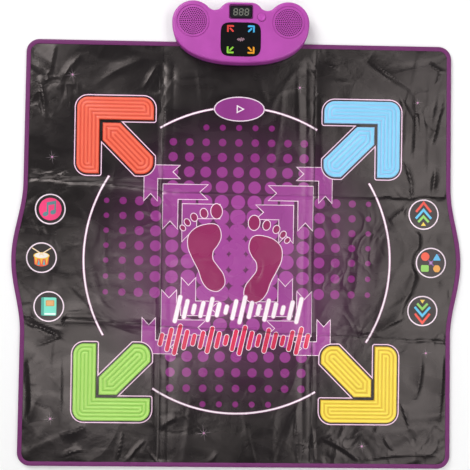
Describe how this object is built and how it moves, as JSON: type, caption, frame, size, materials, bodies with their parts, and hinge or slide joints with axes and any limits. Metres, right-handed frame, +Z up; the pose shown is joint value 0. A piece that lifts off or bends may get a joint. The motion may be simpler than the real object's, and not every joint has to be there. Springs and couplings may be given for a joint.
{
  "type": "electronic dance mat",
  "caption": "Folding padded floor mat with raised arrow pads and switch discs, clamped under a console with speakers, display, lit panel, push button and sliding battery door.",
  "frame": {"origin": "on the floor, under the centre of the whole object's outline", "axes": "+X to the right as the player faces the console, +Y from the mat's free edge to the console, +Z up from the floor"},
  "size_m": [0.9002, 0.9253, 0.0382],
  "materials": {
    "black_vinyl": "satin",
    "base_fabric": "matte",
    "foam": "matte",
    "film": "satin",
    "binding": "matte",
    "red_pad": "satin",
    "blue_pad": "satin",
    "green_pad": "satin",
    "yellow_pad": "satin",
    "disc_print": "satin",
    "start_print": "satin",
    "console_purple": "satin",
    "console_base": "satin",
    "smoked_window": "gloss",
    "digits": "satin",
    "red_lens": "gloss",
    "blue_lens": "gloss",
    "green_lens": "gloss",
    "orange_lens": "gloss",
    "black_plastic": "matte",
    "board": "satin",
    "cell": "satin",
    "rubber": "matte",
    "steel": "satin"
  },
  "bodies": {
    "centre": {"base_centre": "base_fabric", "lower_film_centre": "film", "foam_centre": "foam", "upper_film_centre": "film", "cover_centre": "black_vinyl", "binding_top": "binding", "binding_bottom": "binding", "console_top": "console_purple", "console_bottom": "console_base", "display_window": "smoked_window", "digit_display": "digits", "panel_window": "smoked_window", "red_lens": "red_lens", "blue_lens": "blue_lens", "green_lens": "green_lens", "orange_lens": "orange_lens", "button_switch": "black_plastic", "main_board": "board", "left_speaker": "black_plastic", "right_speaker": "black_plastic", "battery_1": "cell", "battery_2": "cell", "battery_3": "cell", "foot_left": "rubber", "foot_right": "rubber", "case_screw_rear_left": "steel", "case_screw_rear_right": "steel", "case_screw_front_left": "steel", "case_screw_front_right": "steel", "flex_tail": "film"},
    "left_wing": {"base_left": "base_fabric", "lower_film_left": "film", "foam_left": "foam", "upper_film_left": "film", "cover_left": "black_vinyl", "binding_left": "binding"},
    "right_wing": {"base_right": "base_fabric", "lower_film_right": "film", "foam_right": "foam", "upper_film_right": "film", "cover_right": "black_vinyl", "binding_right": "binding"},
    "red_arrow": {"red_chevron": "red_pad", "red_stem": "red_pad"},
    "blue_arrow": {"blue_chevron": "blue_pad", "blue_stem": "blue_pad"},
    "green_arrow": {"green_chevron": "green_pad", "green_stem": "green_pad"},
    "yellow_arrow": {"yellow_chevron": "yellow_pad", "yellow_stem": "yellow_pad"},
    "left_top_switch": {"left_disc_top": "disc_print"},
    "left_middle_switch": {"left_disc_middle": "disc_print"},
    "left_bottom_switch": {"left_disc_bottom": "disc_print"},
    "right_top_switch": {"right_disc_top": "disc_print"},
    "right_middle_switch": {"right_disc_middle": "disc_print"},
    "right_bottom_switch": {"right_disc_bottom": "disc_print"},
    "start_switch": {"start_disc": "start_print"},
    "button": {"round_button": "console_purple"},
    "door": {"battery_door": "console_base"}
  },
  "joints": [
    {"name": "left_fold", "type": "hinge", "parent": "centre", "child": "left_wing", "pos_m": [-0.152, -0.46275, 0.0105], "axis": [0, 0.9999, 0.0157], "range_deg": [0, 179.9]},
    {"name": "right_fold", "type": "hinge", "parent": "centre", "child": "right_wing", "pos_m": [0.152, -0.46275, 0.0171], "axis": [0, -0.9999, -0.0157], "range_deg": [0, 179.9]},
    {"name": "red_press", "type": "slide", "parent": "left_wing", "child": "red_arrow", "axis": [0, 0, -1], "range_m": [0, 0.003], "stiffness_N_per_m": 2500, "springref_m": -0.0006},
    {"name": "blue_press", "type": "slide", "parent": "right_wing", "child": "blue_arrow", "axis": [0, 0, -1], "range_m": [0, 0.003], "stiffness_N_per_m": 2500, "springref_m": -0.0006},
    {"name": "green_press", "type": "slide", "parent": "left_wing", "child": "green_arrow", "axis": [0, 0, -1], "range_m": [0, 0.003], "stiffness_N_per_m": 2500, "springref_m": -0.0006},
    {"name": "yellow_press", "type": "slide", "parent": "right_wing", "child": "yellow_arrow", "axis": [0, 0, -1], "range_m": [0, 0.003], "stiffness_N_per_m": 2500, "springref_m": -0.0006},
    {"name": "left_top_press", "type": "slide", "parent": "left_wing", "child": "left_top_switch", "axis": [0, 0, -1], "range_m": [0, 0.0012], "stiffness_N_per_m": 500, "springref_m": -0.0006},
    {"name": "left_middle_press", "type": "slide", "parent": "left_wing", "child": "left_middle_switch", "axis": [0, 0, -1], "range_m": [0, 0.0012], "stiffness_N_per_m": 500, "springref_m": -0.0006},
    {"name": "left_bottom_press", "type": "slide", "parent": "left_wing", "child": "left_bottom_switch", "axis": [0, 0, -1], "range_m": [0, 0.0012], "stiffness_N_per_m": 500, "springref_m": -0.0006},
    {"name": "right_top_press", "type": "slide", "parent": "right_wing", "child": "right_top_switch", "axis": [0, 0, -1], "range_m": [0, 0.0012], "stiffness_N_per_m": 500, "springref_m": -0.0006},
    {"name": "right_middle_press", "type": "slide", "parent": "right_wing", "child": "right_middle_switch", "axis": [0, 0, -1], "range_m": [0, 0.0012], "stiffness_N_per_m": 500, "springref_m": -0.0006},
    {"name": "right_bottom_press", "type": "slide", "parent": "right_wing", "child": "right_bottom_switch", "axis": [0, 0, -1], "range_m": [0, 0.0012], "stiffness_N_per_m": 500, "springref_m": -0.0006},
    {"name": "start_press", "type": "slide", "parent": "centre", "child": "start_switch", "axis": [0, 0, -1], "range_m": [0, 0.0012], "stiffness_N_per_m": 500, "springref_m": -0.0006},
    {"name": "button_press", "type": "slide", "parent": "centre", "child": "button", "axis": [0, 0, -1], "range_m": [0, 0.0015], "stiffness_N_per_m": 800, "springref_m": -0.0004},
    {"name": "battery_door_slide", "type": "slide", "parent": "centre", "child": "door", "axis": [0, 1, 0], "range_m": [0, 0.058]}
  ]
}
